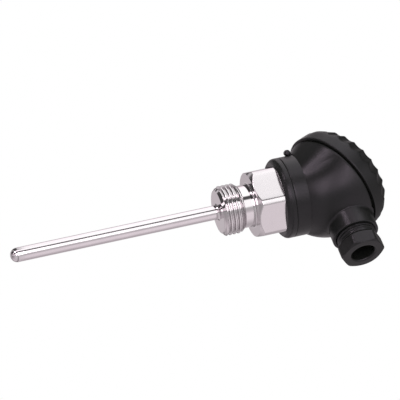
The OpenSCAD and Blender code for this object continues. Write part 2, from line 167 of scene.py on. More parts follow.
def spun(r: Real, a: Real, z: Real) -> np.ndarray:
    """Points (..., 3) at radius r, angle a and height z: (r cos a, r sin a, z)."""
    r, a, z = np.broadcast_arrays(r, a, z)
    return np.stack([r * np.cos(a), r * np.sin(a), z], axis=-1)


def turned(outline: np.ndarray, count: int) -> np.ndarray:
    """Outline (n, 2) of r and z carried round Z: points (n, count, 3)."""
    return spun(outline[:, :1], ring(count), outline[:, 1:])


def levels(*runs: tuple[float, float, int]) -> np.ndarray:
    """Column (n, 1) of even steps: for each run its first value, last value and count."""
    return np.concatenate([np.linspace(*run) for run in runs])[:, None]


def smooth_min(a: Real, b: Real, k: float) -> np.ndarray:
    """The smaller of a and b with the edge between them rounded over k.

    It is (a + b - sqrt((a - b)^2 + k^2)) / 2.
    """
    return 0.5 * (a + b - np.sqrt((a - b) ** 2 + k * k))


def thread_wave(phase: np.ndarray, crest: float = 0.22, root: float = 0.16) -> np.ndarray:
    """Depth of a thread from 0 at the crest to 1 at the root.

    A triangle wave of the phase is clipped to leave that share of the pitch
    at the crest and at the root, and the corners are eased by
    x - sin(2 pi x) / 2 pi mixed in by half.

    Args:
        phase: turns of the thread at each point; whole numbers are roots.
        crest, root: shares of the pitch that stay flat.

    Returns:
        The depth at each point.
    """
    tri = np.abs(2.0 * (phase - np.floor(phase)) - 1.0)
    x = np.clip((tri - crest) / (1.0 - crest - root), 0.0, 1.0)
    return 0.5 * x + 0.5 * (x - np.sin(2.0 * math.pi * x) / (2.0 * math.pi))


def hex_radius(angle: np.ndarray, across: float, turn: float) -> np.ndarray:
    """Distance from the axis to the side of a hexagon at each angle.

    It is half the width across flats over the cosine of the angle to the
    nearest flat's normal.

    Args:
        angle: angles round the axis, in radians.
        across: width across flats, in mm.
        turn: angle of a corner, in radians.

    Returns:
        The distance at each angle.
    """
    sixth = math.pi / 3.0
    off = np.mod(angle - turn, sixth) - sixth / 2.0
    return across / 2.0 / np.cos(off)


class Mesher:
    """Writes grids of points into Blender meshes."""

    @staticmethod
    def quads(rows: int, cols: int, wrap_rows: bool, base: int = 0) -> np.ndarray:
        """Quads of a grid of points whose columns wrap.

        Args:
            rows, cols: size of the grid.
            wrap_rows: whether the last row joins the first.
            base: number of the grid's first point.

        Returns:
            Corner numbers (n, 4).
        """
        i = np.arange(rows if wrap_rows else rows - 1)[:, None]
        j = np.arange(cols)[None, :]
        i2, j2 = (i + 1) % rows, (j + 1) % cols
        q = np.stack([i * cols + j, i * cols + j2, i2 * cols + j2, i2 * cols + j], -1)
        return q.reshape(-1, 4) + base

    @staticmethod
    def build(
        name: str,
        grids: list[tuple[np.ndarray, bool]],
        crease_deg: float = 38.0,
        keep: np.ndarray | None = None,
    ) -> bpy.types.Object:
        """One object from grids of points.

        Args:
            name: object name.
            grids: (points (rows, cols, 3) in mm, whether the rows wrap too).
            crease_deg: edges turned by more than this stay sharp.
            keep: mask of the quads to keep, all of them if None.

        Returns:
            The object, at the origin, with outward normals.
        """
        co, faces, base = [], [], 0
        for points, wrap in grids:
            rows, cols = points.shape[:2]
            co.append(points.reshape(-1, 3))
            faces.append(Mesher.quads(rows, cols, wrap, base))
            base += rows * cols
        verts, quads = np.concatenate(co) * MM, np.concatenate(faces)
        if keep is not None:
            quads = quads[keep]
        mesh = bpy.data.meshes.new(name)
        mesh.from_pydata(verts.tolist(), [], quads.tolist())
        bm = bmesh.new()
        bm.from_mesh(mesh)
        bmesh.ops.remove_doubles(bm, verts=bm.verts, dist=MERGE_M)
        loose = [v for v in bm.verts if not v.link_faces]
        bmesh.ops.delete(bm, geom=loose, context="VERTS")
        bmesh.ops.recalc_face_normals(bm, faces=bm.faces)
        bm.to_mesh(mesh)
        bm.free()
        mesh.shade_smooth()
        mesh.set_sharp_from_angle(angle=math.radians(crease_deg))
        obj = bpy.data.objects.new(name, mesh)
        bpy.context.scene.collection.objects.link(obj)
        return obj


# ---------------------------------------------------------------- finishes


def linear(hex_colour: str) -> tuple[float, float, float, float]:
    """Turns an sRGB colour to linear: c/12.92 below 0.04045, else ((c+0.055)/1.055)^2.4.

    Args:
        hex_colour: the colour as #rrggbb.

    Returns:
        Linear red, green, blue and an alpha of 1.
    """
    c = np.array([int(hex_colour[i : i + 2], 16) / 255.0 for i in (1, 3, 5)])
    lin = np.where(c <= 0.04045, c / 12.92, ((c + 0.055) / 1.055) ** 2.4)
    return (float(lin[0]), float(lin[1]), float(lin[2]), 1.0)


def add(tree: bpy.types.NodeTree, kind: str, sets: dict, links: dict) -> bpy.types.Node:
    """Adds one node with its settings and its incoming links.

    Args:
        tree: node tree.
        kind: node type name.
        sets: attributes by name, and input values by number or socket name in "in".
        links: input number or name to (node, output number or name).

    Returns:
        The node.
    """
    node = tree.nodes.new(kind)
    for key, value in sets.items():
        if key != "in":
            setattr(node, key, value)
    for key, value in sets.get("in", {}).items():
        node.inputs[key].default_value = value
    for key, (source, out) in links.items():
        tree.links.new(source.outputs[out], node.inputs[key])
    return node


@dataclass(frozen=True)
class Finish:
    """A finish: base colour range, gloss and two scales of surface detail.

    Args:
        name: material name.
        low, high: the two sRGB colours that the mottling runs between.
        metal: metallic share.
        rough: roughness at the middle, and how far the mottling moves it.
        grain_mm: size of the fine grain, and its bump height in mm.
        mottle_mm: size of the soft colour clouds.
        stretch: scale of the grain along X, Y and Z.
        ior: index of refraction, for non-metals.
        coat: clear coat weight.
        shine: specular level, for non-metals.
        tint: tint of the reflections, for non-metals.
    """

    name: str
    low: str
    high: str
    metal: float = 0.0
    rough: tuple[float, float] = (0.4, 0.05)
    grain_mm: tuple[float, float] = (0.4, 0.01)
    mottle_mm: float = 6.0
    stretch: Triple = (1.0, 1.0, 1.0)
    ior: float = 1.5
    coat: float = 0.0
    shine: float = 0.5
    tint: str = "#ffffff"

    def material(self) -> bpy.types.Material:
        """Builds the node tree, or finds it if it was built before.

        Soft noise mixes the two colours and moves the roughness; a finer
        noise, stretched where tool marks run, drives the bump.

        Returns:
            The material.
        """
        found = bpy.data.materials.get(self.name)
        if found:
            return found
        mat = bpy.data.materials.new(self.name)
        mat.use_nodes = True
        tree = mat.node_tree
        tree.nodes.clear()
        coords = add(tree, "ShaderNodeTexCoord", {}, {})
        clouds = add(
            tree,
            "ShaderNodeTexNoise",
            {"in": {"Scale": 1.0 / (self.mottle_mm * MM), **CLOUDS}},
            {"Vector": (coords, "Object")},
        )
        colour = add(
            tree,
            "ShaderNodeMix",
            {"data_type": "RGBA", "in": {6: linear(self.low), 7: linear(self.high)}},
            {0: (clouds, 0)},
        )
        middle, swing = self.rough
        gloss = add(
            tree,
            "ShaderNodeMapRange",
            {"in": {1: CLOUD_SPAN[0], 2: CLOUD_SPAN[1], 3: middle - swing, 4: middle + swing}},
            {0: (clouds, 0)},
        )
        place = add(
            tree,
            "ShaderNodeMapping",
            {"in": {"Scale": self.stretch}},
            {"Vector": (coords, "Object")},
        )
        grain = add(
            tree,
            "ShaderNodeTexNoise",
            {"in": {"Scale": 1.0 / (self.grain_mm[0] * MM), **GRAIN}},
            {"Vector": (place, 0)},
        )
        bump = add(
            tree,
            "ShaderNodeBump",
            {"in": {"Strength": 1.0, "Distance": self.grain_mm[1] * MM}},
            {"Height": (grain, 0)},
        )
        shader = add(
            tree,
            "ShaderNodeBsdfPrincipled",
            {"in": {"Metallic": self.metal, "Coat Weight": self.coat}},
            {"Base Color": (colour, 2), "Roughness": (gloss, 0), "Normal": (bump, 0)},
        )
        if self.metal < 0.5:
            shader.inputs["IOR"].default_value = self.ior
            shader.inputs["Specular IOR Level"].default_value = self.shine
            shader.inputs["Specular Tint"].default_value = linear(self.tint)
        add(tree, "ShaderNodeOutputMaterial", {}, {"Surface": (shader, 0)})
        return mat


# Stainless steel 1.4571, turned on a lathe: bright, with tool marks round the axis.
TURNED = Finish(
    "steel_turned_bright", "#cac6c8", "#d4d0d2",
    metal=1.0, rough=(0.06, 0.02), grain_mm=(0.35, 0.0005), mottle_mm=5.0,
    stretch=(0.05, 0.05, 1.0),
)
# The same steel as cold-drawn hexagon bar, wiped by a flap wheel: a satin flat.
DRAWN = Finish(
    "steel_hexagon_bar", "#c3bfc1", "#d0ccce",
    metal=1.0, rough=(0.17, 0.03), grain_mm=(0.22, 0.0012), mottle_mm=4.0, stretch=(1.0, 1.0, 0.25),
)
# Drawn and centreless-polished tube: long fine lines along the axis.
TUBE = Finish(
    "steel_tube_polished", "#c8c3c6", "#d8d4d6",
    metal=1.0, rough=(0.13, 0.02), grain_mm=(0.3, 0.0006), mottle_mm=8.0, stretch=(1.0, 1.0, 0.04),
)
# Glass-filled polyamide, moulded in a spark-eroded tool: satin black, slightly cloudy.
POLYAMIDE = Finish(
    "polyamide_black", "#141514", "#191a18",
    rough=(0.33, 0.04), grain_mm=(0.35, 0.012), mottle_mm=9.0, ior=1.53, shine=0.28, tint="#f3e9f8",
)
# Nitrile rubber, moulded: dull black.
NITRILE = Finish(
    "nitrile_rubber", "#121212", "#1b1a1a",
    rough=(0.62, 0.05), grain_mm=(0.3, 0.01), mottle_mm=4.0, ior=1.52,
)
# Melamine moulding of the terminal base: warm ivory, fairly glossy.
MELAMINE = Finish(
    "melamine_ivory", "#cfc5ac", "#ddd4bd",
    rough=(0.34, 0.05), grain_mm=(0.4, 0.006), mottle_mm=5.0, ior=1.6,
)
# Free-cutting brass, sawn and milled.
BRASS = Finish(
    "brass_milled", "#b08d4a", "#c9a862",
    metal=1.0, rough=(0.3, 0.06), grain_mm=(0.2, 0.003), mottle_mm=3.0, stretch=(1.0, 0.1, 1.0),
)
# Steel with bright zinc plating.
ZINC = Finish(
    "zinc_plated_steel", "#a9abae", "#c2c4c6",
    metal=1.0, rough=(0.26, 0.06), grain_mm=(0.2, 0.002), mottle_mm=2.0,
)
# Fired alumina: matt off-white.
ALUMINA = Finish(
    "alumina_fired", "#d8d3c6", "#e6e2d6",
    rough=(0.6, 0.05), grain_mm=(0.15, 0.004), mottle_mm=3.0, ior=1.76,
)
# Cast epoxy resin: dark grey, glossy.
RESIN = Finish(
    "epoxy_cast", "#2b2c2f", "#34353a",
    rough=(0.22, 0.05), grain_mm=(0.8, 0.01), mottle_mm=3.0, ior=1.55,
)
# Extruded fluoropolymer wire jackets.
WIRE_RED = Finish(
    "jacket_red", "#8e1b17", "#a3241e",
    rough=(0.38, 0.04), grain_mm=(0.25, 0.003), mottle_mm=2.0, ior=1.38,
)
WIRE_WHITE = Finish(
    "jacket_white", "#dcdbd5", "#e8e7e2",
    rough=(0.38, 0.04), grain_mm=(0.25, 0.003), mottle_mm=2.0, ior=1.38,
)


def dress(obj: bpy.types.Object, finish: Finish) -> bpy.types.Object:
    """Gives an object one finish in its first material slot.

    Args:
        obj: the piece.
        finish: its finish.

    Returns:
        The piece.
    """
    obj.data.materials.clear()
    obj.data.materials.append(finish.material())
    return obj


def fit(obj: bpy.types.Object, finish: Finish, body: Body, slot: str, *nodes: str) -> bpy.types.Object:
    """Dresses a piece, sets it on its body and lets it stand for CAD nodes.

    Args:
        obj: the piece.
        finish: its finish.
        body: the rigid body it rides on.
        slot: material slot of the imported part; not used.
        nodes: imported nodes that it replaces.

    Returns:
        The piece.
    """
    dress(obj, finish)
    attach(obj, body.value)
    if nodes:
        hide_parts(*nodes)
    faces = len(obj.data.polygons)
    LOG.info("%s: %d faces on %s", obj.name, faces, body.value)
    return obj


# ---------------------------------------------------------------- the frame


@dataclass(frozen=True)
class Datum:
    """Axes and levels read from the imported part."""

    seat: Axes
    gland: Axes

    @staticmethod
    def read(joints: list[dict]) -> "Datum":
        """Takes the lid axis and the gland axis from the turning joints.

        Args:
            joints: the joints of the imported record.

        Returns:
            The local frames of the lid seat and of the gland.
        """
        named = {j["name"]: j for j in joints}
        lid, nut = named["lid_turn"], named["gland_turn"]
        c = np.array(lid["axis"], float)
        c /= np.linalg.norm(c)
        y = np.array([0.0, 1.0, 0.0])
        u = np.cross(y, c)
        seat = Axes(tuple(np.array(lid["pos_m"]) / MM), tuple(u), tuple(y), tuple(c))
        place = tuple(np.array(nut["pos_m"]) / MM)
        return Datum(seat, Axes(place, (0.0, 0.0, -1.0), (0.0, 1.0, 0.0), (1.0, 0.0, 0.0)))


# ---------------------------------------------------------------- the probe


@dataclass
class Sheath:
    """Closed tube with a round tip."""

    radius: float = 3.0
    tip_z: float = -103.0
    top_z: float = -12.0
    edge: float = 0.5
    tip_rows: int = 14
    step: float = 4.0
    cols: int = 96

    def build(self) -> None:
        """Makes the tube: a quarter circle at the tip, then a straight side."""
        a = np.linspace(0.0, math.pi / 2.0, self.tip_rows)
        tip = np.stack([self.radius * np.sin(a), self.tip_z + self.radius * (1 - np.cos(a))], 1)
        top = [[self.radius, self.top_z], [self.radius - self.edge, self.top_z], [0.0, self.top_z]]
        grid = turned(dense(np.concatenate([tip, top]), self.step), self.cols)
        fit(Mesher.build("sheath", [(grid, False)]), TUBE, Body.PROBE, "stainless_tube", "sheath_tube")


@dataclass
class Fitting:
    """Process fitting: end face with weld, G 1/2 thread, relief, hexagon, spigot."""

    sheath_r: float = 3.0
    thread_r: float = 10.4775
    pitch: float = 1.814
    depth: float = 1.162
    crest_phase: float = 0.58
    end_z: float = -14.1
    chamfer: float = 1.5
    # corners of the weld bead: past the sheath, below the end face, rounding
    weld: Stops = ((-0.1, 0.85, 0.0), (0.12, 0.75, 0.1), (0.3, 0.3, 0.2), (0.6, 0.0, 0.2))
    relief_r: float = 8.95
    relief_w: float = 3.7
    relief_fillet: float = 0.7
    run_out: float = 0.75
    run_out_slope: float = 0.85
    thread_ease: float = 0.12
    seal_r: float = 9.85
    hex_af: float = 27.0
    hex_round_r: float = 15.0
    hex_turn_deg: float = 6.5
    hex_h: float = 13.0
    hex_chamfer_deg: float = 45.0
    chamfer_share: float = 0.99
    face_share: float = 0.97
    chamfer_z: float = 2.2
    corner_ease: float = 0.10
    chamfer_ease: float = 0.06
    spigot_r: float = 9.0
    spigot_z: float = 23.1
    bore_r: float = 5.0
    bore_floor: float = 5.0
    thread_rows: int = 190
    chamfer_rows: int = 34
    flat_rows: int = 24
    fine_step: float = 0.3
    step: float = 0.5
    coarse_step: float = 0.8
    cols: int = 288

    def thread_grid(self) -> np.ndarray:
        """End face, thread and relief groove.

        The thread's radius is thread_r - depth * wave(z / pitch - a / 2 pi),
        held below a 45 degree cone at its free end and below a flatter one
        where it runs out into the relief.

        Returns:
            Points (rows, cols, 3).
        """
        a = ring(self.cols)
        high_z = -self.relief_w - self.run_out
        z = levels((self.end_z + 0.02, high_z, self.thread_rows))
        phase = z / self.pitch - a / (2.0 * math.pi) + self.crest_phase
        r = self.thread_r - self.depth * thread_wave(phase)
        start = self.thread_r - self.chamfer + (z - self.end_z)
        finish = self.relief_r + (high_z - z) * self.run_out_slope
        r = smooth_min(smooth_min(r, start, self.thread_ease), finish, self.thread_ease)
        face = [(self.sheath_r + out, self.end_z - down, size) for out, down, size in self.weld]
        face.append((self.thread_r - self.chamfer - 0.2, self.end_z, 0))
        groove = [
            (self.relief_r, high_z + 0.05, 0),
            (self.relief_r, 0.0, self.relief_fillet),
            (self.seal_r, 0.0, 0),
        ]
        low = turned(dense(rounded(face), self.step), self.cols)
        high = turned(dense(rounded(groove), self.fine_step), self.cols)
        return np.concatenate([low, spun(r, a, z), high])

    def hex_grid(self) -> np.ndarray:
        """Seal face, hexagon, spigot and bore.

        The radius is the smaller of the hexagon, the turned round and the
        chamfer cone that starts near the flats' width on the seal face.

        Returns:
            Points (rows, cols, 3).
        """
        a = ring(self.cols)
        above = (self.chamfer_z + 0.2, self.hex_h, self.flat_rows)
        z = levels((0.0, self.chamfer_z, self.chamfer_rows), above)
        half = self.hex_af / 2
        flat = hex_radius(a, self.hex_af, math.radians(self.hex_turn_deg))
        cone = half * self.chamfer_share + z / math.tan(math.radians(self.hex_chamfer_deg))
        r = smooth_min(smooth_min(flat, self.hex_round_r, self.corner_ease), cone, self.chamfer_ease)
        r = np.minimum(r, self.hex_round_r)
        face = np.array([[self.seal_r, 0.0], [half * self.face_share, 0.0]])
        top = rounded(
            [
                (half * self.face_share, self.hex_h, 0),
                (self.spigot_r, self.hex_h, 0.2),
                (self.spigot_r, self.spigot_z, 0.25),
                (self.bore_r, self.spigot_z, 0.25),
                (self.bore_r, self.bore_floor, 0.2),
                (0.0, self.bore_floor, 0),
            ]
        )
        low = turned(dense(face, self.step), self.cols)
        high = turned(dense(top, self.coarse_step), self.cols)
        return np.concatenate([low, spun(r, a, z), high])

    def build(self) -> None:
        """Makes the fitting in two finishes: turned faces and drawn hexagon."""
        low = Mesher.build("fitting_thread", [(self.thread_grid(), False)], crease_deg=50.0)
        fit(low, TURNED, Body.PROBE, "stainless_turned", "process_fitting")
        high = Mesher.build("fitting_hexagon", [(self.hex_grid(), False)], crease_deg=32.0)
        fit(high, DRAWN, Body.PROBE, "stainless_turned", "process_fitting")


@dataclass
class NeckRing:
    """Round lock ring between the hexagon and the head."""

    radius: float = 16.9
    low_z: float = 11.4
    height: float = 3.9
    chamfer: float = 1.4
    recess_r: float = 15.15
    recess: float = 1.6
    bore_r: float = 9.15
    hex_af: float = 27.2
    hex_turn_deg: float = 6.5
    step: float = 0.6
    cols: int = 288

    def socket(self, grid: np.ndarray) -> np.ndarray:
        """Draws the mouth of the ring in, so that it follows the hexagon.

        Every radius r below the top face becomes r + share * (h - recess_r),
        with h the hexagon's radius, never above recess_r, and the share
        falling in straight lines from 1 at recess_r to 0 at the bore and at
        the start of the outer chamfer.

        Args:
            grid: rows of points round the ring, in mm.

        Returns:
            The grid with the mouth drawn in.
        """
        r = np.hypot(grid[..., 0], grid[..., 1])
        a = np.arctan2(grid[..., 1], grid[..., 0])
        hexagon = np.minimum(hex_radius(a, self.hex_af, math.radians(self.hex_turn_deg)), self.recess_r)
        edge_r = self.radius - self.chamfer
        inner = (r - self.bore_r) / (self.recess_r - self.bore_r)
        outer = (edge_r - r) / (edge_r - self.recess_r)
        is_mouth = grid[..., 2] < self.low_z + self.recess + 0.1
        share = np.clip(np.minimum(inner, outer), 0.0, 1.0) * is_mouth
        scale = 1.0 + share * (hexagon - self.recess_r) / np.maximum(r, 1.0)
        return np.stack([grid[..., 0] * scale, grid[..., 1] * scale, grid[..., 2]], -1)

    def build(self) -> None:
        """Makes the ring as one closed outline carried round the axis."""
        top = self.low_z + self.height
        outline = rounded(
            [
                (self.recess_r, self.low_z + self.recess, 0),
                (self.recess_r, self.low_z, 0.15),
                (self.radius - self.chamfer, self.low_z, 0.9),
                (self.radius, self.low_z + self.chamfer, 0.9),
                (self.radius, top, 0.3),
                (self.bore_r, top, 0),
                (self.bore_r, self.low_z + self.recess, 0),
                (self.recess_r, self.low_z + self.recess, 0),
            ]
        )
        grid = self.socket(turned(dense(outline, self.step)[:-1], self.cols))
        fit(Mesher.build("lock_ring", [(grid, True)]), POLYAMIDE, Body.PROBE, "black_plastic", "neck_ring")


@dataclass
class Head:
    """Moulded head: collar, flared shell, threaded neck, wiring room and gland boss."""

    at: Datum
    collar_z: float = 15.3
    flare_z: float = 21.4
    floor_z: float = 21.9
    collar_r: float = 16.9
    wall: float = 2.8
    belly_z: float = 30.4
    belly_r: float = 20.4
    rim_r: float = 22.6
    rim_land: float = 0.9
    neck_r: float = 19.5
    neck_h: float = 7.5
    neck_pitch: float = 3.0
    neck_depth: float = 0.55
    mouth_r: float = 17.7
    hole_r: float = 9.15
    boss_r: float = 9.9
    boss_end: float = 26.0
    boss_start: float = 13.4
    boss_chamfer: float = 0.7
    boss_back: float = 1.9
    boss_wall: float = 1.1
    bore_r: float = 8.45
    bore_floor: float = 15.3
    cable_r: float = 5.0
    fillet: float = 1.3
    hole_margin: float = 0.45
    joint: float = 0.12
    thread_from: float = 1.6
    fade_in: float = 0.6
    fade_out: float = 0.5
    thread_flat: float = 0.3
    rim_margin: float = 0.5
    bulge_loss: float = 0.25
    hump_skew: float = 0.35
    outer_rows: int = 64
    inner_rows: int = 48
    neck_steps: int = 60
    # the boss meets the skin at a mean of its nearest points, all past this x
    near: int = 6
    near_soft: float = 0.05
    side_from: float = 2.0
    # rows of the fillet: depths below the skin, then steps that grow by a power
    fillet_roots: tuple[float, float] = (-1.0, -0.3)
    fillet_rows: int = 9
    fillet_power: float = 1.5
    side_rows: int = 14
    mouth_edge: float = 0.25
    lug_r: float = 1.35
    lug_half: float = 1.6
    lug_turn_deg: float = -145.0
    lug_out: float = 1.1
    lug_drop: float = 1.2
    lug_dome: float = 0.6
    lug_rows: int = 25
    lug_cols: int = 40
    # the web of the lug: half width and half height, way in from the knob, squareness, and
    # its rows as (height, size)
    web: tuple[float, float] = (0.75, 0.9)
    web_in: float = 0.6
    web_power: float = 0.5
    web_rows: tuple[tuple[float, float], ...] = (
        (-0.4, 0.0), (0.0, 1.0), (0.6, 1.0), (1.0, 1.0), (1.4, 0.95), (1.8, 0.0),
    )
    # two screw posts and a prop: x, y, radius
    posts_at: Stops = ((-7.28, 7.28, 2.5), (-7.28, -7.28, 2.5), (10.14, 0.0, 1.8))
    posts_z: float = 26.9
    step: float = 0.7
    cols: int = 300
    boss_cols: int = 192

    def circle(self, radius: float, z: float) -> np.ndarray:
        """Level circle (cols, 3) at height z."""
        return spun(radius, ring(self.cols), z)

    def seat_circle(self, radius: float, z: float) -> np.ndarray:
        """Circle (cols, 3) round the lid axis at height z over the seat."""
        return self.at.seat.place(self.circle(radius, z))

    def flare(self, low: np.ndarray, belly_r: float, high: np.ndarray, rows: int) -> np.ndarray:
        """Skin from a level circle to the tilted rim, bulging where the belly stands out.

        For each angle the line from low to high is bent outwards at the
        belly's height by how far the belly circle stands beyond it, and the
        bend is spread over the line by a smooth hump.

        Args:
            low, high: circles (cols, 3) that the skin runs between.
            belly_r: radius of the belly circle.
            rows: rows of the skin.

        Returns:
            Points (rows, cols, 3).
        """
        span = high[:, 2] - low[:, 2]
        at = np.clip((self.belly_z - low[:, 2]) / span, 0.05, 0.95)
        line = low + (high - low) * at[:, None]
        out = np.hypot(line[:, 0], line[:, 1])
        inside = (self.belly_z < high[:, 2] - self.rim_margin).astype(float)
        bulge = np.maximum(belly_r - out, 0.0) * inside
        bulge = np.where(bulge > 0.0, bulge - self.bulge_loss * (1 - np.exp(-bulge)), 0.0)
        direction = line / np.maximum(np.linalg.norm(line[:, :2], axis=1), 1e-9)[:, None]
        direction[:, 2] = 0.0
        t = np.linspace(0.0, 1.0, rows)[:, None]
        rise = np.where(t < at, t / at, (1.0 - t) / (1.0 - at))
        hump = 1.0 - (1.0 - rise) ** 2 * (1.0 - self.hump_skew * rise)
        hump = np.where(rise < 1e-6, 0.0, hump)
        base = low[None] + (high - low)[None] * t[..., None]
        return base + (hump * bulge[None])[..., None] * direction[None]

    def outer_flare(self) -> np.ndarray:
        """Outer skin of the shell from the collar to the rim.

        Returns:
            Points (rows, cols, 3).
        """
        low = self.circle(self.collar_r - self.joint, self.flare_z)
        high = self.seat_circle(self.rim_r, -self.rim_land)
        return self.flare(low, self.belly_r, high, self.outer_rows)

    def neck_rows(self) -> np.ndarray:
        """Rim, threaded neck and mouth, in the frame of the seat.

        The neck's radius is neck_r - depth * wave(z / pitch - a / 2 pi),
        faded out at both ends.

        Returns:
            Points (rows, cols, 3) in the row frame.
        """
        a = ring(self.cols)
        end = self.neck_h - 0.3
        rim = [(self.rim_r, -self.rim_land, 0), (self.rim_r, 0.0, 0.3), (self.neck_r, 0.0, 0)]
        z = levels((0.05, end, self.neck_steps))
        phase = z / self.neck_pitch - a / (2 * math.pi)
        fade = np.clip((z - self.thread_from) / self.fade_in, 0, 1)
        fade = fade * np.clip((end - z) / self.fade_out, 0, 1)
        wave = thread_wave(phase, self.thread_flat, self.thread_flat)
        r = self.neck_r - self.neck_depth * wave * fade
        top = [
            (self.neck_r, end, 0),
            (self.neck_r - 0.3, self.neck_h, 0.2),
            (self.mouth_r, self.neck_h, 0.3),
            (self.mouth_r, -self.rim_land, 0),
        ]
        low = turned(dense(rounded(rim), 0.5), self.cols)
        high = turned(dense(rounded(top), 0.8), self.cols)
        return self.at.seat.place(np.concatenate([low, spun(r, a, z), high]))

    def shell(self) -> bpy.types.Object:
        """The collar, shell, neck and room as one grid that closes on itself.

        The quads of the two skins that the gland bore passes through are left
        out; the edge of that hole lies inside the wall of the boss.

        Returns:
            The shell.
        """
        collar = rounded(
            [
                (self.hole_r, self.floor_z, 0),
                (self.hole_r, self.collar_z, 0.2),
                (self.collar_r, self.collar_z, 0.35),
                (self.collar_r, self.flare_z - 0.02, self.joint),
                (self.collar_r - self.joint, self.flare_z, 0),
            ]
        )
        outer = self.outer_flare()
        low = self.circle(self.collar_r - self.wall, self.floor_z)
        high = self.seat_circle(self.mouth_r - 0.05, -self.rim_land)
        inner = self.flare(low, self.belly_r - self.wall, high, self.inner_rows)[::-1]
        parts = [turned(dense(collar, self.step), self.cols), outer[1:], self.neck_rows(), inner]
        grid = np.concatenate(parts)
        pairs = grid + np.roll(grid, -1, 1)
        centre = (pairs + np.roll(pairs, -1, 0)) / 4
        g = self.at.gland.local(centre)
        s = self.at.seat.local(centre)
        is_near = np.hypot(g[..., 0], g[..., 1]) < self.bore_r + self.hole_margin
        is_bore = is_near & (g[..., 2] > 10.0) & (s[..., 2] < -self.hole_margin)
        return Mesher.build("head_shell", [(grid, True)], crease_deg=34.0, keep=~is_bore.reshape(-1))

    def boss(self) -> bpy.types.Object:
        """Gland boss with a rolled fillet onto the shell and a flat under the lid.

        At each angle round the gland axis the shell is met at x_s; the
        radius grows there by fillet - sqrt(fillet^2 - (fillet - d)^2), with d
        the distance past x_s. Points above the seat are pressed down onto it.

        Returns:
            The boss.
        """
        a = ring(self.boss_cols)
        skin = self.outer_flare()
        skin = skin[:, skin[0, :, 0] > self.side_from].reshape(-1, 3)
        reach = self.boss_r + self.fillet
        want = np.stack([reach * np.sin(a), self.at.gland.origin[2] - reach * np.cos(a)], 1)
        gap = np.linalg.norm(want[:, None, :] - skin[None, :, 1:], axis=2)
        near = np.argpartition(gap, self.near, axis=1)[:, : self.near]
        weight = 1.0 / (np.take_along_axis(gap, near, 1) + self.near_soft)
        x_s = (skin[near, 0] * weight).sum(1) / weight.sum(1)
        grow = np.linspace(0.0, 1.0, self.fillet_rows) ** self.fillet_power * self.fillet
        d = np.concatenate([self.fillet_roots, grow])[:, None]
        x = x_s + d
        push = np.clip(self.fillet - d, 0.0, self.fillet)
        r = self.boss_r + self.fillet - np.sqrt(np.maximum(self.fillet**2 - push**2, 0.0))
        shoulder = self.boss_end - self.boss_chamfer
        run = levels((0.0, 1.0, self.side_rows))[1:]
        straight = x[-1] + (shoulder - x[-1]) * run
        side = np.concatenate([spun(r, a, x), spun(self.boss_r, a, straight)])
        back_r = self.bore_r + self.boss_wall
        end = rounded(
            [
                (self.boss_r, shoulder, 0),
                (self.boss_r, self.boss_end, self.boss_chamfer),
                (self.bore_r + self.mouth_edge, self.boss_end, 0.2),
                (self.bore_r, self.boss_end - self.mouth_edge, 0.1),
                (self.bore_r, self.bore_floor, 0.0),
                (self.cable_r, self.bore_floor, 0.15),
                (self.cable_r, self.boss_start, 0.2),
                (back_r, self.boss_start, 0.4),
                (back_r, self.boss_start + self.boss_back, 0),
            ]
        )
        rows = np.concatenate([side, turned(dense(end, self.step), self.boss_cols)])
        grid = self.at.gland.place(rows)
        s = self.at.seat.local(grid)
        is_outside = np.hypot(s[..., 0], s[..., 1]) > self.neck_r - 0.3
        over = np.maximum(s[..., 2] + self.joint, 0.0) * is_outside
        grid = grid - over[..., None] * np.array(self.at.seat.z)
        return Mesher.build("gland_boss", [(grid, True)], crease_deg=40.0)

    def lug(self) -> bpy.types.Object:
        """Small round lug on the collar: a short capsule across its web.

        The capsule's radius is lug_r * sqrt(sin(angle))^lug_dome and its length
        runs as -lug_half * cos(angle). The web's outline is a squared circle,
        the powers of |cos b| and |sin b| with their signs.

        Returns:
            The lug.
        """
        angle = math.pi * np.linspace(0.0, 1.0, self.lug_rows)
        r = self.lug_r * np.sqrt(np.clip(np.sin(angle), 0, 1)) ** self.lug_dome
        outline = np.stack([r, -self.lug_half * np.cos(angle)], 1)
        turn = math.radians(self.lug_turn_deg)
        ex = (math.cos(turn), math.sin(turn), 0.0)
        ey = (-math.sin(turn), math.cos(turn), 0.0)
        ez = (0.0, 0.0, 1.0)
        x0, z0 = self.collar_r + self.lug_out, self.flare_z - self.lug_drop
        knob = Axes((x0 * ex[0], x0 * ex[1], z0), ez, ex, ey).place(turned(outline, self.lug_cols))
        b = ring(self.lug_cols)
        sx, sy = (np.sign(v) * np.abs(v) ** self.web_power for v in (np.cos(b), np.sin(b)))
        height, size = np.array(self.web_rows).T[:, :, None]
        web = np.stack([self.web[0] * sx * size, self.web[1] * sy * size, height + 0 * b], -1)
        x1 = x0 - self.web_in
        web = Axes((x1 * ex[0], x1 * ex[1], z0), ey, ex, ez).place(web)
        return Mesher.build("collar_lug", [(knob, False), (web, False)], crease_deg=40.0)

    def posts(self) -> bpy.types.Object:
        """Two screw posts and a prop under the terminal base.

        Returns:
            The three as one piece.
        """
        grids = []
        low = self.floor_z - 0.3
        for x, y, r in self.posts_at:
            outline = rounded([(0.0, low, 0), (r, low, 0), (r, self.posts_z, 0.2), (0.0, self.posts_z, 0)])
            grids.append((turned(outline, 48) + np.array([x, y, 0.0]), False))
        return Mesher.build("head_posts", grids, crease_deg=40.0)

    def build(self) -> None:
        """Makes and dresses every piece of the head."""
        for piece in (self.shell(), self.boss(), self.lug(), self.posts()):
            fit(piece, POLYAMIDE, Body.PROBE, "black_plastic", "head_body")


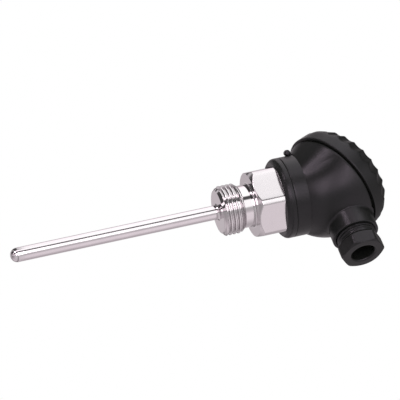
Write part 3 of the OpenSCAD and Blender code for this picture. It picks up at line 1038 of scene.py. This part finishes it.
@dataclass
class Lid:
    """Screw lid: smooth band, scalloped conical shoulder and dished top."""

    at: Datum
    radius: float = 23.7
    gap: float = 0.5
    height: float = 11.5
    band_h: float = 6.4
    band_draw: float = 0.6
    slope_deg: float = 36.0
    scallops: int = 24
    depth: float = 0.85
    crown: float = 1.0
    dish_rim: float = 3.9
    dish_depth: float = 0.5
    top: float = 2.6
    bore_r: float = 19.8
    thread_top: float = 8.5
    thread_pitch: float = 3.0
    thread_depth: float = 0.45
    thread_flat: float = 0.3
    fade_in: float = 0.6
    fade_out: float = 0.5
    edge: float = 0.45
    lip: float = 0.6
    band_ease: float = 0.5
    grip_lean_deg: float = 1.0
    grip_ease: float = 0.12
    # in crown sizes: how far below the top the crown starts, and how far in it runs
    crown_start: float = 1.1
    crown_reach: float = 1.95
    crown_sag: float = 0.35
    side_rows: int = 64
    crown_rows: int = 9
    top_rows: int = 8
    bore_rows: int = 50
    step: float = 1.5
    groove_r: float = 21.55
    groove_h: float = 1.85
    inner_r: float = 17.7
    cols: int = 480

    def outside(self) -> np.ndarray:
        """Band, shoulder and crown.

        The shoulder is a cone; each scallop is a cylinder laid along the
        cone, so the radius is the smaller of the cone and
        x_c - sqrt(R^2 - y^2) / cos(slope), rounded where they meet.

        Returns:
            Points (rows, cols, 3) in the frame of the seat.
        """
        a = ring(self.cols)
        edge_z = self.gap + self.band_h
        top_z = self.gap + self.height
        r1 = self.radius - self.band_draw
        slope = math.tan(math.radians(self.slope_deg))
        pitch = 2 * math.pi / self.scallops
        big = (r1 * math.sin(pitch / 2)) ** 2 / 2 / self.depth + self.depth / 2
        foot = rounded(
            [
                (self.groove_r, self.gap, 0),
                (self.radius, self.gap, self.edge),
                (self.radius - 0.02, self.gap + self.lip, 0),
            ]
        )
        z = levels((self.gap + self.lip + 0.02, top_z - self.crown * self.crown_start, self.side_rows))
        band = self.radius - self.band_draw * (z - self.gap) / self.band_h
        cone = r1 - (z - edge_z) * slope
        body = smooth_min(band, cone, self.band_ease)
        off = np.mod(a, pitch) - pitch / 2
        y = body * np.sin(off)
        tilt = math.radians(self.slope_deg + self.grip_lean_deg)
        lean = math.cos(tilt)
        x_c = r1 + big - self.depth - (z - edge_z) * math.tan(tilt)
        reach = np.sqrt(np.maximum(big**2 - y**2, 0)) / lean
        cut = (x_c - reach + big * (1 / lean - 1)) / np.cos(off)
        r = smooth_min(body, cut, self.grip_ease)
        t = levels((0, 1, self.crown_rows))[1:]
        r_top = r[-1] - self.crown * self.crown_reach * t - (1 - t) * t * self.crown_sag
        z_top = z[-1] + (top_z - z[-1]) * (1 - (1 - t) ** 2)
        dish_r = r1 - (self.height - self.band_h) * slope - self.dish_rim
        t = levels((0, 1, self.top_rows))[1:]
        r_flat = r_top[-1] + (dish_r + 0.3 - r_top[-1]) * t
        dish = rounded(
            [
                (dish_r + 0.3, top_z, 0),
                (dish_r, top_z, 0.2),
                (dish_r, top_z - self.dish_depth, 0.25),
                (0.0, top_z - self.dish_depth, 0),
            ]
        )
        rows = [
            turned(foot, self.cols),
            spun(r, a, z),
            spun(r_top, a, z_top),
            spun(r_flat, a, top_z),
            turned(dense(dish, self.step), self.cols),
        ]
        return np.concatenate(rows)

    def inside(self) -> np.ndarray:
        """Ceiling, threaded bore and seal groove, from the axis outwards.

        The bore's radius is bore_r + depth * (1 - wave), with the wave taken at
        z / pitch - a / 2 pi + 1/2 and faded out at both ends.

        Returns:
            Points (rows, cols, 3) in the frame of the seat.
        """
        ceiling = self.gap + self.height - self.top
        head = rounded(
            [
                (0.0, ceiling, 0),
                (self.inner_r, ceiling, 0.5),
                (self.inner_r, self.thread_top + 0.4, 0.2),
                (self.bore_r, self.thread_top, 0),
            ]
        )
        a = ring(self.cols)
        z = levels((self.thread_top - 0.05, self.groove_h + 0.05, self.bore_rows))
        phase = z / self.thread_pitch - a / (2 * math.pi) + 0.5
        fade = np.clip((z - self.groove_h) / self.fade_in, 0, 1)
        fade = fade * np.clip((self.thread_top - z) / self.fade_out, 0, 1)
        wave = thread_wave(phase, self.thread_flat, self.thread_flat)
        r = self.bore_r + self.thread_depth * (1 - wave) * fade
        groove = rounded(
            [
                (self.bore_r, self.groove_h, 0),
                (self.groove_r, self.groove_h, 0.15),
                (self.groove_r, self.gap, 0),
            ]
        )
        low = turned(dense(head, self.step), self.cols)
        return np.concatenate([low, spun(r, a, z), turned(groove, self.cols)])

    def build(self) -> None:
        """Joins outside and inside into one closed lid."""
        grid = self.at.seat.place(np.concatenate([self.outside(), self.inside()]))
        lid = Mesher.build("screw_lid", [(grid, True)], crease_deg=40.0)
        fit(lid, POLYAMIDE, Body.LID, "black_plastic", "lid")


@dataclass
class Gland:
    """Gland nut with threaded shank, hexagon and cable bore."""

    at: Datum
    tip: float = 22.85
    hex_x: float = 29.7
    end: float = 35.5
    shank_r: float = 8.3
    pitch: float = 1.5
    depth: float = 0.4
    thread_flat: float = 0.25
    thread_rows: int = 70
    chamfer: float = 0.7
    tip_ease: float = 0.1
    af: float = 17.0
    turned_r: float = 9.5
    chamfer_deg: float = 30.0
    chamfer_share: float = 0.985
    ease: float = 0.2
    bore_r: float = 5.0
    cols: int = 240

    def build(self) -> None:
        """Makes the nut as one grid that closes on itself.

        The shank's radius is shank_r - depth * wave; the hexagon's is the
        smaller of the hexagon, the turned round and a 30 degree cone from
        each face.
        """
        a = ring(self.cols)
        z = levels((self.tip + 0.05, self.hex_x, self.thread_rows))
        wave = thread_wave(z / self.pitch - a / (2 * math.pi), self.thread_flat, self.thread_flat)
        start = self.shank_r - self.chamfer + (z - self.tip)
        r = smooth_min(self.shank_r - self.depth * wave, start, self.tip_ease)
        shank = spun(r, a, z)
        h = self.end - self.hex_x
        z = self.hex_x + levels((0.0, 0.0, 1), (0.01, 1.0, 12), (1.2, h - 1.2, 8), (h - 1.0, h, 14))
        start = self.af / 2 * self.chamfer_share
        depth = np.minimum(z - self.hex_x, self.end - z)
        cone = start + depth / math.tan(math.radians(self.chamfer_deg))
        flat = smooth_min(hex_radius(a, self.af, 0.0), self.turned_r, self.ease)
        r = np.minimum(smooth_min(flat, cone, self.ease), self.turned_r)
        bore = rounded(
            [
                (start - 0.3, self.end, 0),
                (self.bore_r + 0.5, self.end, 0.4),
                (self.bore_r, self.end - 0.6, 0.3),
                (self.bore_r, self.tip, 0.2),
                (self.shank_r - 0.8, self.tip, 0),
            ]
        )
        rows = np.concatenate([shank, spun(r, a, z), turned(dense(bore, 0.8), self.cols)])
        grid = self.at.gland.place(rows)
        nut = Mesher.build("gland_pressure_nut", [(grid, True)], crease_deg=30.0)
        fit(nut, POLYAMIDE, Body.NUT, "black_plastic", "gland_nut")


@dataclass
class Seals:
    """Round seals of the lid and the neck, and the rubber sleeve of the gland."""

    at: Datum
    section: float = 0.9
    lid_ring_r: float = 20.55
    neck_ring_r: float = 12.9
    neck_ring_z: float = 14.38
    sleeve_r: float = 8.15
    sleeve_bore_r: float = 3.3
    sleeve_from: float = 15.3
    sleeve_to: float = 18.3
    section_cols: int = 24
    cols: int = 144
    sleeve_cols: int = 96

    def torus(self, radius: float, z: float, axes: Axes, name: str) -> bpy.types.Object:
        """Ring of round section: radius + s cos b round the axis, z + s sin b along it.

        Args:
            radius: radius of the section's centre.
            z: height of the section's centre.
            axes: frame that the ring lies in.
            name: name of the piece.

        Returns:
            The ring.
        """
        b = ring(self.section_cols)
        outline = np.stack([radius + self.section * np.cos(b), z + self.section * np.sin(b)], 1)
        return Mesher.build(name, [(axes.place(turned(outline, self.cols)), True)], crease_deg=60.0)

    def build(self) -> None:
        """Makes both seals and the sleeve."""
        lid = self.torus(self.lid_ring_r, self.section, self.at.seat, "lid_seal_ring")
        fit(lid, NITRILE, Body.LID_SEAL, "rubber", "lid_oring")
        neck = self.torus(self.neck_ring_r, self.neck_ring_z, Axes(), "neck_seal_ring")
        fit(neck, NITRILE, Body.PROBE, "rubber", "neck_oring")
        middle = (self.sleeve_bore_r, (self.sleeve_from + self.sleeve_to) / 2, 0)
        outline = rounded(
            [
                middle,
                (self.sleeve_bore_r, self.sleeve_from, 0.3),
                (self.sleeve_r, self.sleeve_from, 0.3),
                (self.sleeve_r, self.sleeve_to, 0.4),
                (self.sleeve_bore_r, self.sleeve_to, 0.5),
                middle,
            ]
        )
        sleeve = self.at.gland.place(turned(outline[:-1], self.sleeve_cols))
        fit(Mesher.build("gland_sleeve", [(sleeve, True)]), NITRILE, Body.PROBE, "rubber", "gland_seal")


@dataclass
class Terminals:
    """The terminal block and the wires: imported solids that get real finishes."""

    nodes: dict = field(default_factory=dict)

    def build(self) -> None:
        """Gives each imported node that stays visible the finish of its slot."""
        finishes = {
            "terminal_base": MELAMINE,
            **{f"terminal_{i}": BRASS for i in (1, 2, 3)},
            **{f"terminal_screw_{i}": ZINC for i in (1, 2, 3)},
            "base_screws": ZINC,
            "gland_washer": ZINC,
            "sensing_element": ALUMINA,
            "insulator": ALUMINA,
            "potting_plug": RESIN,
            "lead_wire_1": WIRE_RED,
            "lead_wire_2": WIRE_WHITE,
            "lead_wire_3": WIRE_RED,
        }
        for name, finish in finishes.items():
            dress(self.nodes[name], finish)
            LOG.info("%s: finish %s", name, finish.name)


# ---------------------------------------------------------------- the studio


@dataclass
class Studio:
    """Camera, floor and the light tent.

    The tent is the world. Its cards are stops of (angle round the probe in
    degrees, level, blush), and its ends are stops of (share along the probe,
    factor, blush) that dim the cards towards the probe's two ends.
    """

    toward: Triple = (0.5533, -0.7991, -0.2350)
    right: Triple = (0.3018, -0.0706, 0.9508)
    target: Triple = (-7.9, 0.2, -19.3)
    width_mm: float = 166.2
    lens: float = 250.0
    sensor_mm: float = 36.0
    clip_m: tuple[float, float] = (0.01, 20.0)
    floor_z: float = -103.6
    floor_rings: Triple = (0.0, 200.0, 900.0)
    floor_glow: float = 0.22
    key_from: Triple = (-120.0, -160.0, 520.0)
    key_rise: float = 40.0
    key_size: float = 320.0
    key_watts: float = 1.2
    sky: float = 0.75
    blush: Triple = (0.0, 0.08, 0.04)
    belt_cards: Stops = (
        (-180.0, 0.75, 1.0), (-140.0, 0.62, 1.0), (-115.0, 0.62, 1.0), (-95.0, 0.82, 1.0),
        (-75.0, 1.08, 1.0), (-42.0, 1.12, 1.0), (-30.0, 0.76, 1.0), (-18.0, 0.64, 0.6),
        (-11.0, 0.78, 0.4), (-5.0, 1.60, 0.0), (29.0, 1.60, 0.0), (35.0, 0.12, 0.5),
        (49.0, 0.12, 0.5), (56.0, 1.74, 0.0), (114.0, 1.66, 0.2), (128.0, 1.50, 1.0),
        (142.0, 0.60, 1.0), (180.0, 0.75, 1.0),
    )
    low_cards: Stops = (
        (-180.0, 0.70, 1.0), (-150.0, 0.50, 1.0), (-124.0, 0.90, 1.0), (-100.0, 0.80, 1.0),
        (-40.0, 0.85, 0.5), (-20.0, 0.85, 0.0), (-10.0, 0.60, 0.0), (-2.0, 5.60, 1.2),
        (26.0, 5.60, 1.2), (31.0, 0.50, 0.0), (48.0, 0.50, 0.0), (56.0, 2.00, 1.0),
        (61.0, 19.00, 1.2), (69.0, 19.00, 1.2), (74.0, 0.50, 0.2), (110.0, 0.60, 0.2),
        (118.0, 0.90, 0.5), (140.0, 0.80, 0.6), (180.0, 0.70, 1.0),
    )
    high_cards: Stops = (
        (-180.0, 0.20, 1.0), (-140.0, 0.25, 1.0), (-90.0, 0.95, 1.0), (-60.0, 0.95, 0.5),
        (-20.0, 0.70, 0.0), (0.0, 2.00, 0.0), (30.0, 2.00, 0.0), (60.0, 2.40, 0.0),
        (90.0, 2.80, 0.0), (115.0, 0.60, 0.0), (140.0, 0.20, 1.0), (180.0, 0.20, 1.0),
    )
    back_ends: Stops = (
        (-1.0, 0.50, 0.3), (-0.75, 0.95, 0.3), (-0.4, 1.00, 0.0), (-0.18, 1.00, 0.0),
        (-0.13, 0.30, 0.0), (0.0, 0.30, 0.0), (0.05, 1.00, 0.0), (0.5, 1.00, 0.0),
        (0.75, 0.80, 0.0), (1.0, 0.30, 0.0),
    )
    front_ends: Stops = (
        (-1.0, 0.20, 0.3), (-0.55, 0.20, 0.3), (-0.42, 0.90, 0.0), (-0.38, 1.00, 0.0),
        (-0.27, 1.00, 0.0), (-0.2, 0.10, 0.0), (-0.04, 0.10, 0.0), (0.02, 1.50, 0.0),
        (0.14, 1.50, 0.0), (0.25, 1.00, 0.0), (0.5, 1.00, 0.0), (0.75, 0.60, 0.0),
        (1.0, 0.30, 0.0),
    )
    top_ends: Stops = (
        (-1.0, 0.20, 0.3), (-0.62, 0.08, 0.3), (-0.53, 0.20, 0.3), (-0.5, 1.00, 0.0),
        (-0.42, 1.00, 0.0), (-0.37, 0.12, 0.0), (-0.14, 0.10, 0.0), (-0.08, 0.20, 0.0),
        (0.05, 0.20, 0.0), (0.12, 0.12, 0.0), (0.2, 0.12, 0.0), (0.26, 1.00, 0.0),
        (0.4, 1.00, 0.0), (0.55, 0.60, 0.0), (0.75, 0.12, 0.0), (1.0, 0.05, 0.0),
    )
    belt: Stops = (
        (-1.0, 0.00, 0.0), (0.11, 0.00, 0.0), (0.16, 1.00, 0.0), (0.36, 1.00, 0.0),
        (0.42, 0.00, 0.0), (1.0, 0.00, 0.0),
    )
    front_from: float = -12.0
    top_from: float = 31.0
    back_from: float = 150.0
    high_from: float = 0.25

    def basis(self) -> tuple[np.ndarray, np.ndarray, np.ndarray]:
        """Axes of the camera, made square.

        Returns:
            Unit vectors to its right, upwards and backwards.
        """
        back = np.array(self.toward) / np.linalg.norm(self.toward)
        right = np.array(self.right) - back * np.dot(self.right, back)
        right /= np.linalg.norm(right)
        return right, np.cross(back, right), back

    def across(self) -> tuple[np.ndarray, np.ndarray]:
        """Directions square to the probe.

        Returns:
            Unit vectors towards the camera and over the probe.
        """
        _, up, back = self.basis()
        front = back * [1.0, 1.0, 0.0]
        front /= np.linalg.norm(front)
        over = np.cross(front, [0.0, 0.0, 1.0])
        return front, over * np.sign(np.dot(over, up))

    def camera(self) -> None:
        """Long lens on the line of sight, rolled so that the probe lies across."""
        right, up, back = self.basis()
        cam = bpy.data.objects.new("camera", bpy.data.cameras.new("camera"))
        bpy.context.scene.collection.objects.link(cam)
        cam.data.sensor_width = self.sensor_mm
        cam.data.lens = self.lens
        distance = self.width_mm * self.lens / self.sensor_mm
        place = (np.array(self.target) + back * distance) * MM
        columns = np.column_stack([right, up, back, place])
        cam.matrix_world = Matrix([*columns.tolist(), [0.0, 0.0, 0.0, 1.0]])
        cam.data.clip_start, cam.data.clip_end = self.clip_m
        bpy.context.scene.camera = cam

    def ramp(self, tree: bpy.types.NodeTree, source: bpy.types.Node, stops: Stops) -> bpy.types.Node:
        """Light levels over a value, in straight lines between stops.

        Each stop is (value, level, blush), and its colour is the level
        times (1, 1, 1) - blush * self.blush.

        Args:
            tree: node tree of the world.
            source: node whose first output is the value.
            stops: the stops in order.

        Returns:
            The ramp node.
        """
        low, high = stops[0][0], stops[-1][0]
        place = add(tree, "ShaderNodeMapRange", {"in": {1: low, 2: high, 3: 0.0, 4: 1.0}}, {0: (source, 0)})
        node = add(tree, "ShaderNodeValToRGB", {}, {0: (place, 0)})
        elements = node.color_ramp.elements
        while len(elements) < len(stops):
            elements.new(0.5)
        for element, (value, level, blush) in zip(elements, stops):
            element.position = (value - low) / (high - low)
            element.color = (*(level * (1.0 - blush * np.array(self.blush))), 1.0)
        return node

    def world(self) -> None:
        """Light tent: long cards laid along the probe, placed by angle round its axis.

        The angle of a direction d is atan2(d . over, d . front), and its
        share along the probe is d . z. A belt of shares has its own cards.
        Below and above the belt other cards dim towards their ends. Diffuse
        light comes from an even sky, and the camera sees plain white.
        """
        front, over = self.across()
        tent_world = bpy.data.worlds.new("light_tent")
        bpy.context.scene.world = tent_world
        tent_world.use_nodes = True
        tree = tent_world.node_tree
        tree.nodes.clear()
        coords = add(tree, "ShaderNodeTexCoord", {}, {})
        share = {
            name: add(
                tree,
                "ShaderNodeVectorMath",
                {"operation": "DOT_PRODUCT", "in": {1: tuple(float(v) for v in way)}},
                {0: (coords, "Generated")},
            )
            for name, way in (("over", over), ("front", front), ("along", (0.0, 0.0, 1.0)))
        }
        angle = add(
            tree,
            "ShaderNodeMath",
            {"operation": "ARCTAN2"},
            {0: (share["over"], "Value"), 1: (share["front"], "Value")},
        )
        degrees = add(tree, "ShaderNodeMath", {"operation": "DEGREES"}, {0: (angle, 0)})
        same = {"operation": "ADD", "in": {1: 0.0}}
        along = add(tree, "ShaderNodeMath", same, {0: (share["along"], "Value")})
        mix = {"data_type": "RGBA"}
        times = {"data_type": "RGBA", "blend_type": "MULTIPLY", "in": {0: 1.0}}
        back_ends = self.ramp(tree, along, self.back_ends)
        ends, out = back_ends, 0
        for limit, node in (
            (self.front_from, self.ramp(tree, along, self.front_ends)),
            (self.top_from, self.ramp(tree, along, self.top_ends)),
            (self.back_from, back_ends),
        ):
            above = {"operation": "GREATER_THAN", "in": {1: limit}}
            past = add(tree, "ShaderNodeMath", above, {0: (degrees, 0)})
            ends = add(tree, "ShaderNodeMix", mix, {0: (past, 0), 6: (ends, out), 7: (node, 0)})
            out = 2
        above = {"operation": "GREATER_THAN", "in": {1: self.high_from}}
        is_high = add(tree, "ShaderNodeMath", above, {0: (along, 0)})
        low_cards = self.ramp(tree, degrees, self.low_cards)
        high_cards = self.ramp(tree, degrees, self.high_cards)
        cards = add(tree, "ShaderNodeMix", mix, {0: (is_high, 0), 6: (low_cards, 0), 7: (high_cards, 0)})
        side = add(tree, "ShaderNodeMix", times, {6: (cards, 2), 7: (ends, 2)})
        belt_cards = self.ramp(tree, degrees, self.belt_cards)
        belt = self.ramp(tree, along, self.belt)
        both = add(tree, "ShaderNodeMix", mix, {0: (belt, 0), 6: (side, 2), 7: (belt_cards, 0)})
        tent = add(tree, "ShaderNodeBackground", {"in": {"Strength": 1.0}}, {"Color": (both, 2)})
        sky, white = (
            add(tree, "ShaderNodeBackground", {"in": {"Color": (1, 1, 1, 1), "Strength": level}}, {})
            for level in (self.sky, 1.0)
        )
        path = add(tree, "ShaderNodeLightPath", {}, {})
        is_diffuse, is_camera = (path, "Is Diffuse Ray"), (path, "Is Camera Ray")
        soft = add(tree, "ShaderNodeMixShader", {}, {0: is_diffuse, 1: (tent, 0), 2: (sky, 0)})
        seen = add(tree, "ShaderNodeMixShader", {}, {0: is_camera, 1: (soft, 0), 2: (white, 0)})
        add(tree, "ShaderNodeOutputWorld", {}, {"Surface": (seen, 0)})

    def floor(self) -> None:
        """Pale round floor under the tip, open to a view from below."""
        grid = spun(np.array(self.floor_rings)[:, None], ring(96), self.floor_z)
        disc = Mesher.build("floor", [(grid, False)])
        if disc.data.polygons[0].normal.z < 0:
            disc.data.flip_normals()
        mat = bpy.data.materials.new("floor_card")
        mat.use_nodes = True
        tree = mat.node_tree
        tree.nodes.clear()
        card = add(tree, "ShaderNodeBsdfDiffuse", {"in": {"Color": linear("#f2f2f2")}}, {})
        glow = add(tree, "ShaderNodeEmission", {"in": {"Strength": self.floor_glow}}, {})
        lit = add(tree, "ShaderNodeAddShader", {}, {0: (card, 0), 1: (glow, 0)})
        clear = add(tree, "ShaderNodeBsdfTransparent", {}, {})
        side = add(tree, "ShaderNodeNewGeometry", {}, {})
        mix = add(tree, "ShaderNodeMixShader", {}, {0: (side, "Backfacing"), 1: (lit, 0), 2: (clear, 0)})
        add(tree, "ShaderNodeOutputMaterial", {}, {"Surface": (mix, 0)})
        disc.data.materials.append(mat)
        disc.visible_glossy = False

    def lamp(self, name: str, place: np.ndarray, aim: np.ndarray, size: float, watts: float) -> None:
        """Adds a square soft box that reflections don't show.

        Args:
            name: name of the lamp.
            place, aim: where it stands and what it faces, in mm.
            size: length of its sides, in mm.
            watts: its power.
        """
        data = bpy.data.lights.new(name, "AREA")
        data.size, data.energy = size * MM, watts
        lamp = bpy.data.objects.new(name, data)
        lamp.visible_glossy = False
        bpy.context.scene.collection.objects.link(lamp)
        lamp.location = Vector(place * MM)
        lamp.rotation_mode = "QUATERNION"
        lamp.rotation_quaternion = Vector((aim - place) * MM).to_track_quat("-Z", "Y")

    def build(self) -> None:
        """Sets up the camera, the tent, the floor and one key lamp."""
        self.camera()
        self.world()
        self.floor()
        aim = np.array(self.target) + np.array([0.0, 0.0, self.key_rise])
        bpy.context.scene.view_settings.view_transform = "Standard"
        self.lamp("key", aim + np.array(self.key_from), aim, self.key_size, self.key_watts)


def main() -> None:
    """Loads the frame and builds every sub-assembly."""
    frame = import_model()
    datum = Datum.read(frame["joints"])
    for part in (
        Sheath(),
        Fitting(),
        NeckRing(),
        Head(datum),
        Lid(datum),
        Gland(datum),
        Seals(datum),
        Terminals(frame["nodes"]),
        Studio(),
    ):
        part.build()
        LOG.info("%s done", type(part).__name__)


if __name__ == "__main__":
    logging.basicConfig(level=logging.INFO, format="%(name)s %(message)s")
    main()
